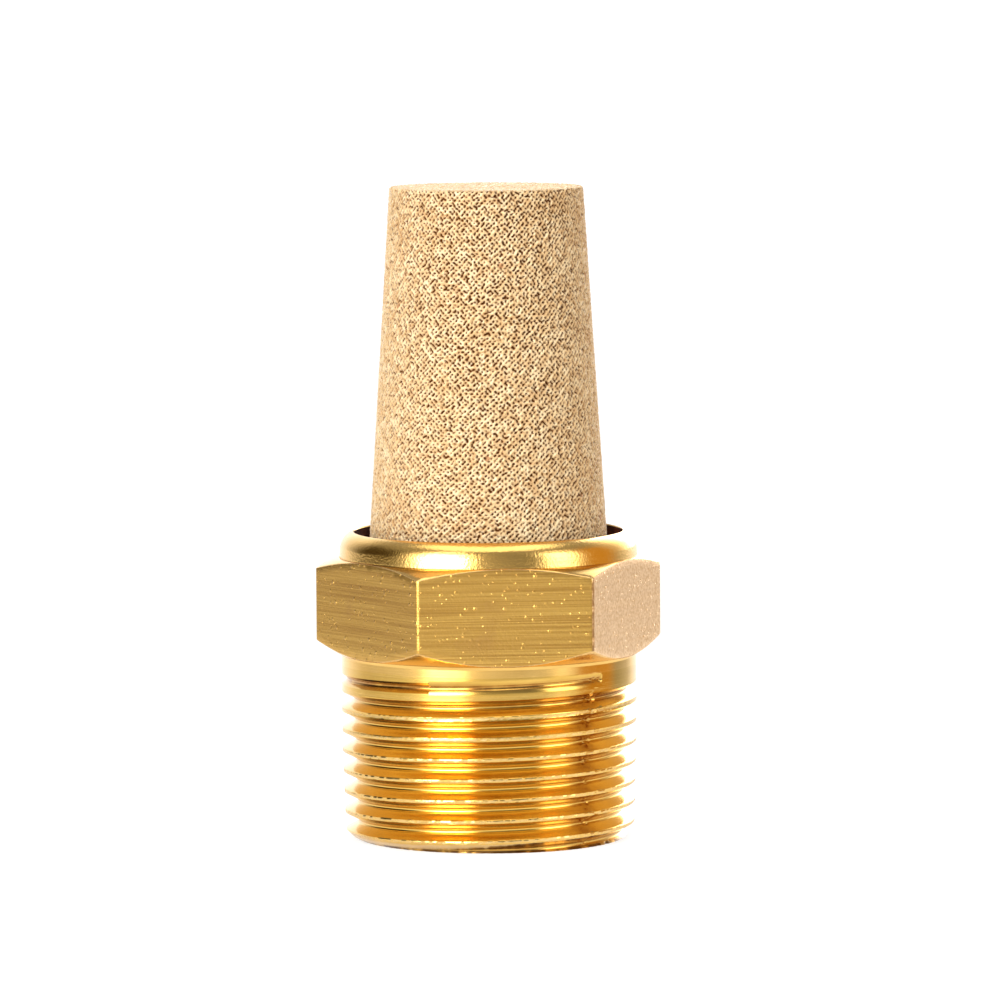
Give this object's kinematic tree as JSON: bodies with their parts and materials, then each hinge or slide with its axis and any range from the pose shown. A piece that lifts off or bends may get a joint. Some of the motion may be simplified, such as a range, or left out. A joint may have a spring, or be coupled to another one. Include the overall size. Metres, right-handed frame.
{
  "type": "pneumatic muffler",
  "caption": "Cone-type sintered bronze exhaust muffler: brass hexagon body with a tapered male pipe thread, and a porous cup held under a rolled lip.",
  "frame": {"origin": "on the axis, in the plane of the end face of the pipe thread", "axes": "+Z along the axis from the thread towards the closed end of the cup; -Y is the outward normal of one flat of the hexagon, so +X points at a corner"},
  "size_m": [0.0392, 0.034, 0.0736],
  "materials": {
    "turned_brass": "turned, bright, with fine streaks on the hexagon's flats",
    "sintered_bronze": "open grains of sintered bronze powder, matte, dark pores"
  },
  "bodies": {
    "root": {"threaded_hex_body": "turned_brass", "sintered_bronze_cup": "sintered_bronze"}
  },
  "joints": []
}
